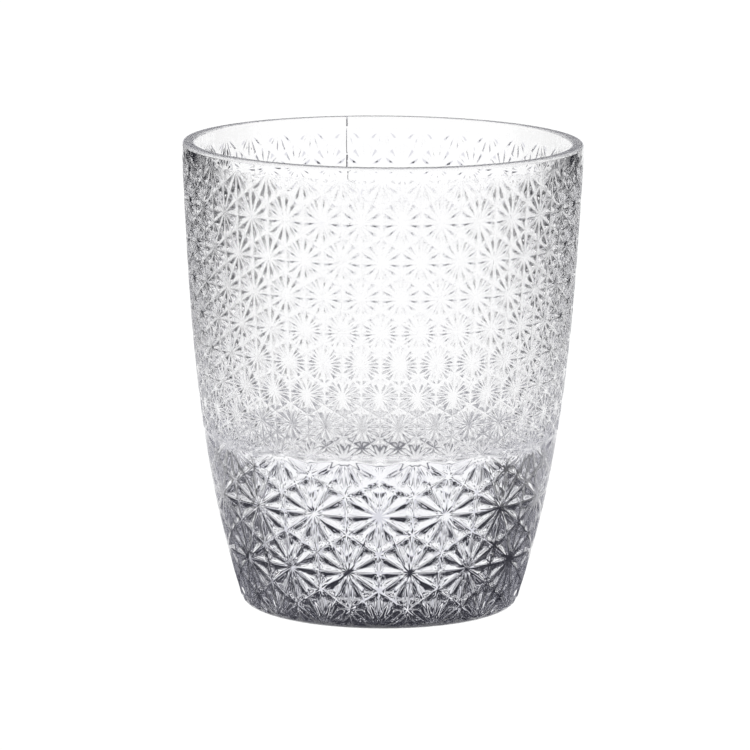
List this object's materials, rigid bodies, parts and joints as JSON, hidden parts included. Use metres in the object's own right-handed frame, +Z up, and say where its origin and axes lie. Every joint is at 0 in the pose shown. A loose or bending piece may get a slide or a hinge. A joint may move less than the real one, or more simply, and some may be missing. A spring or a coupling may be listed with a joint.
{
  "type": "whiskey tumbler",
  "caption": "Heavy-based clear pressed-glass tumbler, wider at the rim than at the foot, with a star relief moulded all over its outside wall.",
  "frame": {"origin": "centre of the foot, on the plane that the glass stands on", "axes": "+Z up along the axis of the glass, from foot to rim; -Y is the front; +X is to the right seen from the front"},
  "size_m": [0.0856, 0.0856, 0.1],
  "materials": {
    "clear_glass": "clear pressed soda-lime glass, fire-polished, with a faint lavender-grey tint where it is thick"
  },
  "bodies": {
    "root": {"glass_tumbler": "clear_glass"}
  },
  "joints": []
}
